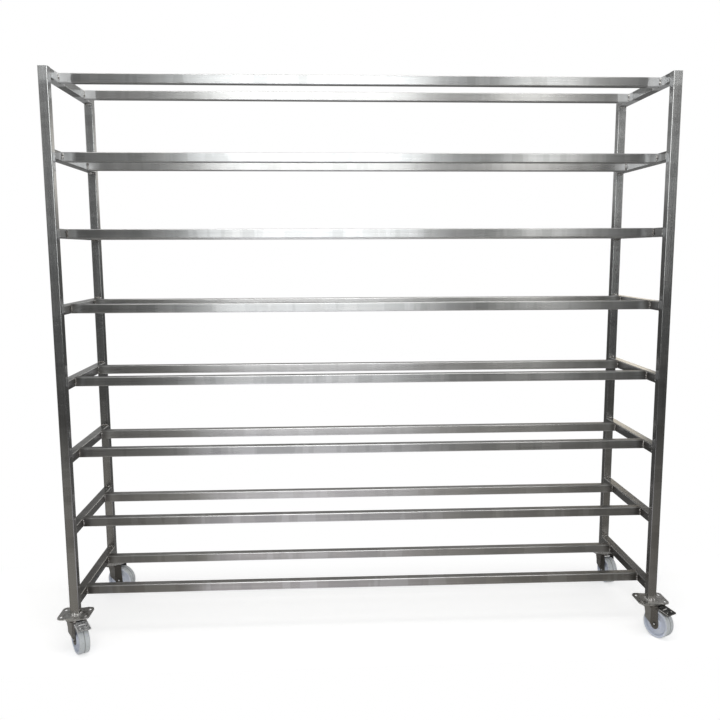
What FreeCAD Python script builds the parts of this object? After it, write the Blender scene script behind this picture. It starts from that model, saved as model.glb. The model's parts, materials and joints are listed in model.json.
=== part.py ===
import FreeCAD, Part
import math
import os

from FreeCAD import Vector

os.makedirs("parts", exist_ok=True)

# Dairy transport rack: a welded square-tube frame with eight open levels on four swivel castors.
# Millimetres. X runs along the rack, Y from the front to the back, Z up from the floor.
# The origin is on the floor under the middle of the four posts. Level 1 is the top level.

# Frame sizes
TUBE = 30.0
TUBE_WALL = 1.5
TUBE_CORNER = 3.0
RACK_LENGTH = 1990.0
RACK_DEPTH = 510.0
RACK_HEIGHT = 1876.0
LEVELS = 8
RAIL_SETBACK = 101.0
POST_FOOT = 28.0
CAP_THICKNESS = 2.0

# Castor sizes
WHEEL_DIAMETER = 100.0
TREAD_WIDTH = 35.0
TREAD_ROUND = 3.0
GROOVE_WIDTH = 2.4
GROOVE_DEPTH = 1.2
HUB_WIDTH = 36.0
HUB_RADIUS = 17.0
RIM_DEPTH = 8.0
FACE_RECESS = 6.0
TRAIL = 37.5
FORK_SHEET = 2.5
FORK_EYE_RADIUS = 14.0
FORK_CREASE = 20.5
FORK_FLARE = 12.0
LEG_SHOULDER_ABOVE_AXLE = 35.0
LEG_SHOULDER_STEP = 4.3
LEG_TAPER_ABOVE_AXLE = 17.0
LEG_TAPER_STEP = 5.0
LEG_TIP_DROP = 4.0
CROWN_RADIUS = 34.0
CROWN_RIM = 8.0
CROWN_ABOVE_WHEEL = 10.0
BALL_DIAMETER = 8.0
BALL_CIRCLE_RADIUS = 22.0
BALL_COUNT = 16
PLATE_THICKNESS = 4.0
PLATE_LENGTH = 103.0
PLATE_WIDTH = 93.0
PLATE_CORNER = 16.0
PLATE_WAIST_DEPTH = 5.0
PLATE_WAIST_SPAN = 56.0
SLOT_SPACING_X = 80.0
SLOT_SPACING_Y = 56.0
SLOT_WIDTH = 9.0
SLOT_LENGTH = 17.0
COLLAR_RADIUS = 40.5
COLLAR_WALL = 2.5
KING_PIN_DIAMETER = 10.0
KING_PIN_HEAD_DIAMETER = 18.0
AXLE_DIAMETER = 8.0
SLEEVE_DIAMETER = 12.0
NUT_ACROSS_FLATS = 13.0
BOLT_HEAD_HEIGHT = 2.5
NUT_HEIGHT = 3.0

# Brake pedal sizes
PEDAL_WIDTH = 45.0
PEDAL_SHEET = 2.5
PEDAL_REACH = 92.0
PEDAL_RISE = 8.5
PEDAL_SLOPE = 12.0
PEDAL_LIP = 4.0
PEDAL_PIN_DIAMETER = 5.0
PEDAL_PRESS = 9.0
SHOE_WIDTH = 26.0

# Clearances
RUNNING = 0.05
FREE = 0.3
SIDE_PLAY = 0.5

# Rest direction of each castor, in degrees from straight ahead, positive to the right
CASTOR_YAW = {"front_left": 33.0, "front_right": 30.0, "rear_left": 72.5, "rear_right": 9.5}
BRAKED = ("front_left", "front_right")

# Castor heights, counted up from the floor
wheel_r = WHEEL_DIAMETER / 2
crown_bottom = WHEEL_DIAMETER + CROWN_ABOVE_WHEEL
crown_top = crown_bottom + FORK_SHEET
plate_bottom = crown_top + BALL_DIAMETER - SIDE_PLAY
plate_top = plate_bottom + PLATE_THICKNESS

# Frame positions
tube_half = TUBE / 2
post_x = RACK_LENGTH / 2 - tube_half
post_y = RACK_DEPTH / 2 - tube_half
rail_y = RACK_DEPTH / 2 - RAIL_SETBACK - tube_half
lowest_bar_bottom = plate_top + POST_FOOT
level_pitch = (RACK_HEIGHT - TUBE - lowest_bar_bottom) / (LEVELS - 1)
bar_length = RACK_DEPTH - 2 * TUBE
rail_length = RACK_LENGTH - 2 * TUBE
post_length = RACK_HEIGHT - CAP_THICKNESS - plate_top

# Castor widths, counted from the middle of the wheel
fork_inside = HUB_WIDTH / 2 + SIDE_PLAY
fork_outside = fork_inside + FORK_SHEET

CORNERS = {
    "front_left": (-post_x, -post_y),
    "front_right": (post_x, -post_y),
    "rear_left": (-post_x, post_y),
    "rear_right": (post_x, post_y),
}


def save(shape, node):
    shape.exportStep("parts/" + node + ".step")


def group(solids):
    return Part.makeCompound(solids)


def cylinder(radius, start, axis, length):
    return Part.makeCylinder(radius, length, start, axis)


def rounded_rectangle(width, height, radius):
    """Closed outline centred on the origin of the XY plane."""
    w = width / 2
    h = height / 2
    k = radius * (1 - math.sqrt(0.5))
    edges = []
    for turn in range(4):
        a = w if turn % 2 == 0 else h
        b = h if turn % 2 == 0 else w
        side = Part.makeLine(Vector(a, radius - b, 0), Vector(a, b - radius, 0))
        start, middle, stop = Vector(a, b - radius, 0), Vector(a - k, b - k, 0), Vector(a - radius, b, 0)
        corner = Part.Arc(start, middle, stop).toShape()
        for edge in (side, corner):
            edge.rotate(Vector(0, 0, 0), Vector(0, 0, 1), 90 * turn)
            edges.append(edge)
    return Part.Wire(Part.__sortEdges__(edges))


def prism(wire, height):
    return Part.Face(wire).extrude(Vector(0, 0, height))


def square_tube(length):
    """Hollow square tube along Z from the origin."""
    inside = TUBE - 2 * TUBE_WALL
    outer = prism(rounded_rectangle(TUBE, TUBE, TUBE_CORNER), length)
    inner = prism(rounded_rectangle(inside, inside, TUBE_CORNER - TUBE_WALL), length)
    return outer.cut(inner)


def profile_in_uz(points, thickness, v_start):
    """Plate standing in the castor's vertical plane, from v_start over its thickness."""
    corners = [Vector(u, v_start, z) for u, z in points]
    wire = Part.makePolygon(corners + [corners[0]])
    return Part.Face(wire).extrude(Vector(0, thickness, 0))


def hexagon(across_flats, height, v_start):
    """Hexagonal prism along the axle, centred on the axle."""
    r = across_flats / 2 / math.cos(math.pi / 6)
    corners = []
    for i in range(7):
        angle = math.radians(60 * i)
        corners.append(Vector(TRAIL + r * math.cos(angle), v_start, wheel_r + r * math.sin(angle)))
    return Part.Face(Part.makePolygon(corners)).extrude(Vector(0, height, 0))


def place_castor(shape, corner):
    """Turn a castor piece to its rest direction and move it under its post."""
    placed = shape.copy()
    x, y = CORNERS[corner]
    placed.rotate(Vector(0, 0, 0), Vector(0, 0, 1), CASTOR_YAW[corner] - 90)
    placed.translate(Vector(x, y, 0))
    return placed


# Posts, standing on the castor plates, with a welded cap on each
caps = []
for corner, (x, y) in CORNERS.items():
    post = square_tube(post_length)
    post.translate(Vector(x, y, plate_top))
    save(post, "post_" + corner)
    cap = prism(rounded_rectangle(TUBE, TUBE, TUBE_CORNER), CAP_THICKNESS)
    cap.translate(Vector(x, y, RACK_HEIGHT - CAP_THICKNESS))
    caps.append(cap)
save(group(caps), "post_caps")

# Side bars from post to post and long rails between the side bars, level by level
for level in range(1, LEVELS + 1):
    z = RACK_HEIGHT - tube_half - (level - 1) * level_pitch
    for side, x in (("left", -post_x), ("right", post_x)):
        bar = square_tube(bar_length)
        bar.rotate(Vector(0, 0, 0), Vector(1, 0, 0), -90)
        bar.translate(Vector(x, -bar_length / 2, z))
        save(bar, "side_bar_" + side + "_" + str(level))
    for row, y in (("front", -rail_y), ("rear", rail_y)):
        rail = square_tube(rail_length)
        rail.rotate(Vector(0, 0, 0), Vector(0, 1, 0), 90)
        rail.translate(Vector(-rail_length / 2, y, z))
        save(rail, "rail_" + row + "_" + str(level))


def bolt_slot(x, y):
    """Tool for a slot with round ends, centred on x and y and longer from front to rear."""
    straight = SLOT_LENGTH - SLOT_WIDTH
    corner = Vector(x - SLOT_WIDTH / 2, y - straight / 2, 0)
    tool = Part.makeBox(SLOT_WIDTH, straight, PLATE_THICKNESS, corner)
    for end in (-1, 1):
        centre = Vector(x, y + end * straight / 2, 0)
        tool = tool.fuse(cylinder(SLOT_WIDTH / 2, centre, Vector(0, 0, 1), PLATE_THICKNESS))
    return tool.removeSplitter()


def castor_plate():
    """Pressed top plate with its bolt slots and the collar around the balls, centred on the pivot."""
    plate = prism(rounded_rectangle(PLATE_LENGTH, PLATE_WIDTH, PLATE_CORNER), PLATE_THICKNESS)
    half_span = PLATE_WAIST_SPAN / 2
    waist_r = (half_span ** 2 + PLATE_WAIST_DEPTH ** 2) / (2 * PLATE_WAIST_DEPTH)
    waist_y = PLATE_WIDTH / 2 + waist_r - PLATE_WAIST_DEPTH
    up = Vector(0, 0, 1)
    for sign in (-1, 1):
        plate = plate.cut(cylinder(waist_r, Vector(0, sign * waist_y, 0), up, PLATE_THICKNESS))
    for sx in (-1, 1):
        for sy in (-1, 1):
            plate = plate.cut(bolt_slot(sx * SLOT_SPACING_X / 2, sy * SLOT_SPACING_Y / 2))
    plate = plate.cut(cylinder(KING_PIN_DIAMETER / 2 + RUNNING, Vector(0, 0, 0), up, PLATE_THICKNESS))
    collar_height = plate_bottom - crown_top - SIDE_PLAY
    collar_start = Vector(0, 0, -collar_height)
    collar = cylinder(COLLAR_RADIUS, collar_start, up, collar_height)
    collar = collar.cut(cylinder(COLLAR_RADIUS - COLLAR_WALL, collar_start, up, collar_height))
    plate = plate.fuse(collar).removeSplitter()
    plate.translate(Vector(0, 0, plate_bottom))
    return plate


def king_pin():
    """Riveted pin with its upper head inside the post and its lower head under the crown."""
    up = Vector(0, 0, 1)
    head_h = 3.0
    low_head_h = 4.0
    low_head_top = crown_bottom - RUNNING
    bottom = low_head_top - low_head_h
    shank = cylinder(KING_PIN_DIAMETER / 2, Vector(0, 0, bottom), up, plate_top + head_h - bottom)
    top_head = cylinder(KING_PIN_HEAD_DIAMETER / 2, Vector(0, 0, plate_top), up, head_h)
    low_head = cylinder(KING_PIN_HEAD_DIAMETER / 2, Vector(0, 0, bottom), up, low_head_h)
    return shank.fuse([top_head, low_head]).removeSplitter()


def ball_ring():
    """Ring of balls that the plate rides on."""
    balls = []
    for i in range(BALL_COUNT):
        angle = 2 * math.pi * i / BALL_COUNT
        x = BALL_CIRCLE_RADIUS * math.cos(angle)
        y = BALL_CIRCLE_RADIUS * math.sin(angle)
        balls.append(Part.makeSphere(BALL_DIAMETER / 2, Vector(x, y, plate_bottom - BALL_DIAMETER / 2)))
    return balls


# Castor plates, king pins and balls, all fixed to the frame
pins = []
balls = []
for corner, (x, y) in CORNERS.items():
    plate = castor_plate()
    plate.translate(Vector(x, y, 0))
    save(plate, "castor_plate_" + corner)
    pin = king_pin()
    pin.translate(Vector(x, y, 0))
    pins.append(pin)
    for ball in ball_ring():
        ball.translate(Vector(x, y, 0))
        balls.append(ball)
save(group(pins), "king_pins")
save(group(balls), "swivel_balls")

# Brake pivot, in the castor's own plane: u along the trail, z up
pivot_u = TRAIL + 3.0
pivot_z = WHEEL_DIAMETER + 5.0
leg_end_u = TRAIL + 9.0
pedal_start_u = leg_end_u + 2.0


def fork_leg():
    """One leg on the +v side: a flat part at the axle, bent outward ahead of a vertical crease."""
    lead_v = fork_outside + FORK_FLARE
    bend = math.atan2(FORK_FLARE, FORK_CREASE)
    inner_crease = FORK_CREASE - FORK_SHEET * math.tan(bend / 2)
    inner_lead_u = -FORK_SHEET * math.sin(bend)
    inner_lead_v = lead_v - FORK_SHEET * math.cos(bend)
    far_u = TRAIL + 2 * FORK_EYE_RADIUS
    plan = [
        Vector(0, lead_v, 0),
        Vector(FORK_CREASE, fork_outside, 0),
        Vector(far_u, fork_outside, 0),
        Vector(far_u, fork_inside, 0),
        Vector(inner_crease, fork_inside, 0),
        Vector(inner_lead_u, inner_lead_v, 0),
        Vector(0, lead_v, 0),
    ]
    wall = Part.Face(Part.makePolygon(plan)).extrude(Vector(0, 0, crown_top))
    # Side view of the leg, narrowing from the crown to a round tip just below the axle
    tip_z = wheel_r - LEG_TIP_DROP
    low_u = TRAIL - FORK_EYE_RADIUS * math.cos(math.radians(40))
    low_z = tip_z - FORK_EYE_RADIUS * math.sin(math.radians(40))
    outline = [
        (0.0, crown_top),
        (LEG_SHOULDER_STEP, wheel_r + LEG_SHOULDER_ABOVE_AXLE),
        (LEG_TAPER_STEP, wheel_r + LEG_TAPER_ABOVE_AXLE),
        (low_u, low_z),
        (TRAIL, tip_z),
        (TRAIL + FORK_EYE_RADIUS, tip_z),
        (leg_end_u, crown_top),
    ]
    across = Vector(0, 1, 0)
    view = profile_in_uz(outline, 2 * lead_v, 0)
    view = view.fuse(cylinder(FORK_EYE_RADIUS, Vector(TRAIL, 0, tip_z), across, 2 * lead_v))
    leg = wall.common(view)
    hole_start = Vector(TRAIL, 0, wheel_r)
    return leg.cut(cylinder(AXLE_DIAMETER / 2 + RUNNING, hole_start, across, 2 * lead_v))


def fork(braked):
    """Pressed fork: a round crown with a rim, two legs, and a gap behind for the pedal."""
    up = Vector(0, 0, 1)
    crown = cylinder(CROWN_RADIUS, Vector(0, 0, crown_bottom), up, FORK_SHEET)
    rim_z = crown_top - CROWN_RIM
    rim = cylinder(CROWN_RADIUS, Vector(0, 0, rim_z), up, CROWN_RIM)
    rim = rim.cut(cylinder(CROWN_RADIUS - FORK_SHEET, Vector(0, 0, rim_z), up, CROWN_RIM))
    body = crown.fuse(rim)
    strip_width = 8.0
    for sign in (-1, 1):
        leg = fork_leg()
        low_v = fork_outside - strip_width
        if sign < 0:
            leg = leg.mirror(Vector(0, 0, 0), Vector(0, 1, 0))
            low_v = -fork_outside
        strip = Part.makeBox(leg_end_u, strip_width, FORK_SHEET, Vector(0, low_v, crown_bottom))
        body = body.fuse([leg, strip])
    body = body.removeSplitter()
    body = body.cut(cylinder(KING_PIN_DIAMETER / 2 + RUNNING, Vector(0, 0, crown_bottom), up, FORK_SHEET))
    ball_z = plate_bottom - BALL_DIAMETER / 2
    groove_r = BALL_DIAMETER / 2 + FREE
    body = body.cut(Part.makeTorus(BALL_CIRCLE_RADIUS, groove_r, Vector(0, 0, ball_z), up))
    if braked:
        across = Vector(0, 1, 0)
        start = Vector(pivot_u, -2 * fork_outside, pivot_z)
        body = body.cut(cylinder(PEDAL_PIN_DIAMETER / 2 + RUNNING, start, across, 4 * fork_outside))
    return body


def fork_hardware(braked):
    """Low-headed axle bolt, thin nut and sleeve of one castor, and the pedal pin of a brake."""
    across = Vector(0, 1, 0)
    thread_gap = 0.02
    axle_r = AXLE_DIAMETER / 2
    bolt_end = fork_outside + NUT_HEIGHT
    shank = cylinder(axle_r, Vector(TRAIL, -fork_outside, wheel_r), across, fork_outside + bolt_end)
    bolt = hexagon(NUT_ACROSS_FLATS, BOLT_HEAD_HEIGHT, -fork_outside - BOLT_HEAD_HEIGHT).fuse(shank)
    nut = hexagon(NUT_ACROSS_FLATS, NUT_HEIGHT, fork_outside)
    nut = nut.cut(cylinder(axle_r + thread_gap, Vector(TRAIL, fork_outside, wheel_r), across, NUT_HEIGHT))
    sleeve_start = Vector(TRAIL, -fork_inside, wheel_r)
    sleeve = cylinder(SLEEVE_DIAMETER / 2, sleeve_start, across, 2 * fork_inside)
    sleeve = sleeve.cut(cylinder(axle_r + RUNNING, sleeve_start, across, 2 * fork_inside))
    solids = [bolt.removeSplitter(), nut, sleeve]
    if braked:
        pin_r = PEDAL_PIN_DIAMETER / 2
        head_h = 1.0
        pin_half = fork_outside + head_h
        pin = cylinder(pin_r, Vector(pivot_u, -pin_half, pivot_z), across, 2 * pin_half)
        for v in (-pin_half, fork_outside):
            pin = pin.fuse(cylinder(pin_r + 1.5, Vector(pivot_u, v, pivot_z), across, head_h))
        solids.append(pin.removeSplitter())
    return group(solids)


def wheel():
    """Moulded wheel: a round-edged tread with a groove, a recessed face and a plain bore."""
    half = TREAD_WIDTH / 2
    hub_half = HUB_WIDTH / 2
    rim_r = wheel_r - RIM_DEPTH
    bore_r = SLEEVE_DIAMETER / 2 + RUNNING
    floor_half = half - FACE_RECESS
    points = [
        (bore_r, -hub_half),
        (HUB_RADIUS, -hub_half),
        (HUB_RADIUS + 2.0, -floor_half),
        (rim_r - 3.0, -floor_half),
        (rim_r, -half),
        (wheel_r, -half),
        (wheel_r, -GROOVE_WIDTH / 2),
        (wheel_r - GROOVE_DEPTH, 0.0),
        (wheel_r, GROOVE_WIDTH / 2),
        (wheel_r, half),
        (rim_r, half),
        (rim_r - 3.0, floor_half),
        (HUB_RADIUS + 2.0, floor_half),
        (HUB_RADIUS, hub_half),
        (bore_r, hub_half),
    ]
    corners = [Vector(r, v, 0) for r, v in points]
    face = Part.Face(Part.makePolygon(corners + [corners[0]]))
    body = face.revolve(Vector(0, 0, 0), Vector(0, 1, 0), 360)
    rims = []
    for edge in body.Edges:
        box = edge.BoundBox
        at_side = abs(abs(box.YMin) - half) < 0.01 and box.YLength < 0.01
        if at_side and abs(box.XMax - wheel_r) < 0.01:
            rims.append(edge)
    body = body.makeFillet(TREAD_ROUND, rims)
    body.translate(Vector(TRAIL, 0, wheel_r))
    return body


def pedal_height(u):
    """Height of the pedal's top face at a distance u along the trail."""
    inner_z = WHEEL_DIAMETER + PEDAL_RISE
    return inner_z - (u - pedal_start_u) * math.tan(math.radians(PEDAL_SLOPE))


def brake_pedal():
    """Sheet pedal with turned-down lips, a web and an eye around its pin."""
    across = Vector(0, 1, 0)
    half = PEDAL_WIDTH / 2
    arm_half = fork_inside - FREE - 1.0
    outer_z = pedal_height(PEDAL_REACH)
    inner_u = pedal_start_u
    inner_z = pedal_height(inner_u)
    paddle_outline = [
        (inner_u, inner_z),
        (PEDAL_REACH, outer_z),
        (PEDAL_REACH, outer_z - PEDAL_SHEET),
        (inner_u, inner_z - PEDAL_SHEET),
    ]
    paddle = profile_in_uz(paddle_outline, PEDAL_WIDTH, -half)
    corner_edges = []
    for edge in paddle.Edges:
        box = edge.BoundBox
        if box.XMin > PEDAL_REACH - 0.01 and box.ZLength > 0.5 * PEDAL_SHEET and box.YLength < 0.01:
            corner_edges.append(edge)
    paddle = paddle.makeFillet(6.0, corner_edges)
    lip_start = TRAIL + FORK_EYE_RADIUS + 5.0
    lip_end = PEDAL_REACH - 6.0
    drop = PEDAL_SHEET + PEDAL_LIP
    lip_outline = [
        (lip_start, pedal_height(lip_start) - PEDAL_SHEET / 2),
        (lip_end, pedal_height(lip_end) - PEDAL_SHEET / 2),
        (lip_end, pedal_height(lip_end) - drop),
        (lip_start, pedal_height(lip_start) - drop),
    ]
    body = paddle
    for v in (-half, half - 2.0):
        body = body.fuse(profile_in_uz(lip_outline, 2.0, v))
    web_outline = [
        (pivot_u - 1.0, pivot_z),
        (pivot_u + 4.0, pivot_z),
        (inner_u + 4.0, pedal_height(inner_u + 4.0) - PEDAL_SHEET / 2),
        (inner_u, inner_z - PEDAL_SHEET / 2),
    ]
    web = profile_in_uz(web_outline, 2 * arm_half, -arm_half)
    eye_r = PEDAL_PIN_DIAMETER / 2 + 1.7
    eye = cylinder(eye_r, Vector(pivot_u, -arm_half, pivot_z), across, 2 * arm_half)
    body = body.fuse([web, eye]).removeSplitter()
    bore_start = Vector(pivot_u, -2 * arm_half, pivot_z)
    return body.cut(cylinder(PEDAL_PIN_DIAMETER / 2 + RUNNING, bore_start, across, 4 * arm_half))


def brake_shoe(pedal):
    """Shoe under the pedal that meets the tread when the pedal is pressed all the way."""
    across = Vector(0, 1, 0)
    start_u = pedal_start_u + 3.5
    end_u = start_u + 14.0
    outline = [
        (start_u, pedal_height(start_u) - PEDAL_SHEET),
        (end_u, pedal_height(end_u) - PEDAL_SHEET),
        (end_u, wheel_r),
        (start_u, wheel_r),
    ]
    block = profile_in_uz(outline, SHOE_WIDTH, -SHOE_WIDTH / 2)
    tread = cylinder(wheel_r + FREE, Vector(TRAIL, -SHOE_WIDTH, wheel_r), across, 2 * SHOE_WIDTH)
    below = Part.makeBox(4 * wheel_r, 2 * SHOE_WIDTH, wheel_r, Vector(TRAIL - wheel_r, -SHOE_WIDTH, 0))
    below.translate(Vector(0, 0, wheel_r * 0.72))
    tool = tread.fuse(below)
    tool.rotate(Vector(pivot_u, 0, pivot_z), across, -PEDAL_PRESS)
    return block.cut(tool).cut(pedal)


# Forks, wheels and hardware of each castor, and the brakes of the front ones
for corner in CORNERS:
    braked = corner in BRAKED
    save(place_castor(fork(braked), corner), "fork_" + corner)
    save(place_castor(fork_hardware(braked), corner), "fork_hardware_" + corner)
    save(place_castor(wheel(), corner), "wheel_" + corner)
    if braked:
        pedal = brake_pedal()
        save(place_castor(pedal, corner), "brake_pedal_" + corner)
        save(place_castor(brake_shoe(pedal), corner), "brake_shoe_" + corner)
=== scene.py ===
import json
import math

import bmesh
import bpy
from mathutils import Matrix, Vector


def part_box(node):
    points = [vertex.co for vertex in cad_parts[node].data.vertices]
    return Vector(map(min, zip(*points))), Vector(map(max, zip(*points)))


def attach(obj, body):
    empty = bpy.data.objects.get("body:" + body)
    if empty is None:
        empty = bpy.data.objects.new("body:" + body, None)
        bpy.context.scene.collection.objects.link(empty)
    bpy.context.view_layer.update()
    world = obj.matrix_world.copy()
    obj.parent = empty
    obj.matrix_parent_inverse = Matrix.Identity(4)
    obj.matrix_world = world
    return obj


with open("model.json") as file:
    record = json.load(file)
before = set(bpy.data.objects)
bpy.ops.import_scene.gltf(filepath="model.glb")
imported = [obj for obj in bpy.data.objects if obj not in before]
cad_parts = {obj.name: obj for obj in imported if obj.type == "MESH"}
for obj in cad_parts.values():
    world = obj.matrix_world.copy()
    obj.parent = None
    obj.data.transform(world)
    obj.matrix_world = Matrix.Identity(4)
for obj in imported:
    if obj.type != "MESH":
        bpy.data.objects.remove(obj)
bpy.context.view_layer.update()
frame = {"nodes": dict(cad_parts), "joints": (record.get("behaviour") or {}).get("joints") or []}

# Dairy transport rack, in metres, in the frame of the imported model.

NODES = frame["nodes"]
JOINTS = {joint["name"]: joint for joint in frame["joints"]}
LEVELS = 8
CORNERS = ("front_left", "front_right", "rear_left", "rear_right")
BRAKED = ("front_left", "front_right")
SIDES = ("left", "right")
ROWS = ("front", "rear")


# Node trees

class Tree:
    """Short names for making and linking shader nodes."""

    def __init__(self, owner):
        owner.use_nodes = True
        self.tree = owner.node_tree
        self.tree.nodes.clear()

    def node(self, kind, **inputs):
        made = self.tree.nodes.new(kind)
        for name, value in inputs.items():
            self.put(made.inputs[name.replace("_", " ")], value)
        return made

    def put(self, socket, value):
        if isinstance(value, bpy.types.NodeSocket):
            self.tree.links.new(value, socket)
        else:
            socket.default_value = value

    def math(self, operation, a, b=0.0):
        made = self.tree.nodes.new("ShaderNodeMath")
        made.operation = operation
        self.put(made.inputs[0], a)
        self.put(made.inputs[1], b)
        return made.outputs[0]

    def vector(self, operation, a, b=(0.0, 0.0, 0.0), result="Vector"):
        made = self.tree.nodes.new("ShaderNodeVectorMath")
        made.operation = operation
        self.put(made.inputs[0], a)
        self.put(made.inputs[1], b)
        return made.outputs[result]

    def measure(self, operation, a, b=(0.0, 0.0, 0.0)):
        """Vector operation that gives one number."""
        return self.vector(operation, a, b, "Value")

    def noise(self, where, scale, detail=2.0, roughness=0.5):
        made = self.tree.nodes.new("ShaderNodeTexNoise")
        self.put(made.inputs["Vector"], where)
        made.inputs["Scale"].default_value = scale
        made.inputs["Detail"].default_value = detail
        made.inputs["Roughness"].default_value = roughness
        return made.outputs[0]

    def ramp(self, value, low, high, before=0.0, after=1.0):
        """Smooth change from one number to another between two values."""
        made = self.tree.nodes.new("ShaderNodeMapRange")
        made.interpolation_type = "SMOOTHSTEP"
        for index, item in enumerate((value, low, high, before, after)):
            self.put(made.inputs[index], item)
        return made.outputs[0]

    def mix(self, factor, a, b):
        """Mix of two colours."""
        made = self.tree.nodes.new("ShaderNodeMix")
        made.data_type = "RGBA"
        self.put(made.inputs[0], factor)
        self.put(made.inputs[6], a)
        self.put(made.inputs[7], b)
        return made.outputs[2]

    def blend(self, factor, a, b):
        """Mix of two numbers."""
        made = self.tree.nodes.new("ShaderNodeMix")
        self.put(made.inputs[0], factor)
        self.put(made.inputs[2], a)
        self.put(made.inputs[3], b)
        return made.outputs[0]

    def bump(self, height, strength, distance, normal=None):
        made = self.tree.nodes.new("ShaderNodeBump")
        made.inputs["Strength"].default_value = strength
        made.inputs["Distance"].default_value = distance
        self.put(made.inputs["Height"], height)
        if normal is not None:
            self.put(made.inputs["Normal"], normal)
        return made.outputs[0]

    def place(self):
        """Position in the piece's own space, which is the rack's frame at rest."""
        return self.node("ShaderNodeTexCoord").outputs["Object"]

    def axes(self, vector):
        parts = self.node("ShaderNodeSeparateXYZ", Vector=vector)
        return parts.outputs[0], parts.outputs[1], parts.outputs[2]

    def shader(self, **inputs):
        return self.node("ShaderNodeBsdfPrincipled", **inputs)

    def end(self, shader, kind="ShaderNodeOutputMaterial"):
        out = self.tree.nodes.new(kind)
        self.tree.links.new(shader.outputs[0], out.inputs["Surface"])


def grey(value, warm=0.0):
    """Linear colour of a grey, a little warmer or cooler."""
    return (value * (1 + warm), value, value * (1 - warm), 1.0)


def along_stops(t, where, stops):
    """Value that runs smoothly through stops of (place, value)."""
    value = stops[0][1]
    for (low, low_value), (high, high_value) in zip(stops, stops[1:]):
        value = t.math("ADD", value, t.ramp(where, low, high, 0.0, high_value - low_value))
    return value


# Castors

def castor_frame(corner):
    """King pin, the way the castor trails, the way across it, and the middle of the wheel."""
    king_pin = Vector(JOINTS["swivel_turn_" + corner]["pos_m"])
    king_pin.z = 0.0
    hub = Vector(JOINTS["wheel_spin_" + corner]["pos_m"])
    trail = Vector((hub.x - king_pin.x, hub.y - king_pin.y, 0.0)).normalized()
    return king_pin, trail, Vector((-trail.y, trail.x, 0.0)), hub


# Tube steel

top_rail_low, top_rail_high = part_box("rail_front_1")
RAIL_END = top_rail_high.x
RAIL_Y = abs(top_rail_low.y + top_rail_high.y) / 2
TOP_BAR_Z = (top_rail_low.z + top_rail_high.z) / 2
LEVEL_PITCH = top_rail_low.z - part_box("rail_front_2")[0].z
HALF_TUBE = (top_rail_high.z - top_rail_low.z) / 2
post_low, post_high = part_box("post_rear_right")
POST_X = (post_low.x + post_high.x) / 2
POST_Y = (post_low.y + post_high.y) / 2
CORNER_START = HALF_TUBE - 0.0033
CORNER_FULL = HALF_TUBE - 0.0020

# By the axis that a tube runs along, X for rails, Y for side bars and Z for posts
ROUGHNESS = ((0.27, 0.31), (0.16, 0.23), (0.21, 0.26))
ANISOTROPY = (0.85, 0.55, 0.45)
LOW_TONE = (0.34, 0.33, 0.46)
CORNER_PAINT_SHARE = (0.75, 0.45, 0.50)
CORNER_PAINT_LOW = (0.88, 0.88, 0.20)
BUFFED_REACH = ((0.038, 0.042), (0.046, 0.056), (0.022, 0.034))
BUFFED_HEIGHT = ((1.50, 1.90), (1.50, 1.90), (1.66, 1.84))
BUFFED_SHARE = (0.85, 0.90, 0.20)

# Greys of the steel, of the marks on it, and of the painted shade and highlights on it
MID_TONE, HIGH_TONE = 0.45, 0.52
LOW_WARM, MID_WARM, HIGH_WARM = 0.05, -0.008, -0.016
CORNER_PAINT_HIGH = 0.80
BLOTCH_GREY, STREAK_GREY = grey(0.34, 0.03), grey(0.58)
BAND_DARK, BAND_LIGHT = grey(0.22, 0.03), grey(0.66)
PATCH_DARK, PATCH_LIGHT = grey(0.24), grey(0.68)
LIGHT_TINT_GREY, BAR_END_SHADE_GREY = grey(0.72, 0.02), grey(0.10, 0.04)
INNER_SHADE_GREY = grey(0.03, 0.04)
STAIN_AND_SHADE_GREY, BUFFED_GREY = grey(0.16, 0.07), grey(0.84, -0.01)
BUFFED_METAL = 0.40
BUFFED_ROUGHNESS = (0.42, 0.56)
ZONE_RAGGED = 0.012

# Ramps over a distance or a height: start, end, value before and value after
LOW_TO_MID, MID_TO_HIGH = (0.1, 0.9), (0.8, 1.7)
CORNER_HEIGHT = (1.3, 1.7)
INNER_SHADE_SIDE, INNER_SHADE_HEIGHT = (-0.85, -0.55, 1.0, 0.0), (1.42, 1.55, 0.62, 0.0)
STAIN_AND_SHADE_HEIGHT = (1.2, 1.5, 1.0, 0.0)
RAIL_STAIN, BAR_STAIN = (0.006, 0.030, 0.75, 0.0), (0.018, 0.034, 0.2, 0.0)
POST_FOOT_SHADE = (0.12, 0.30, 0.12, 0.0)
REAR_RAIL, REAR_RAIL_HEIGHT = (-0.05, 0.05, 0.0, 0.38), (0.10, 0.50, 0.4, 1.0)
FRONT_POST, POST_FOOT = (-0.1, 0.1, 0.45, 0.0), (0.15, 0.42, 1.0, 0.0)
BAR_END, BAR_FRONT = (RAIL_Y + 0.018, RAIL_Y + 0.030), (-0.1, 0.1, 1.0, 0.35)
BAR_INSIDE = (POST_X + 0.009, POST_X + 0.014, 1.0, 0.1)

# How strongly painted shade darkens the inner ends of the side bars, by height
BAR_END_SHADE_STOPS = ((0.60, 0.55), (1.00, 0.85), (1.68, 0.90), (1.82, 0.0))


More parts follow.
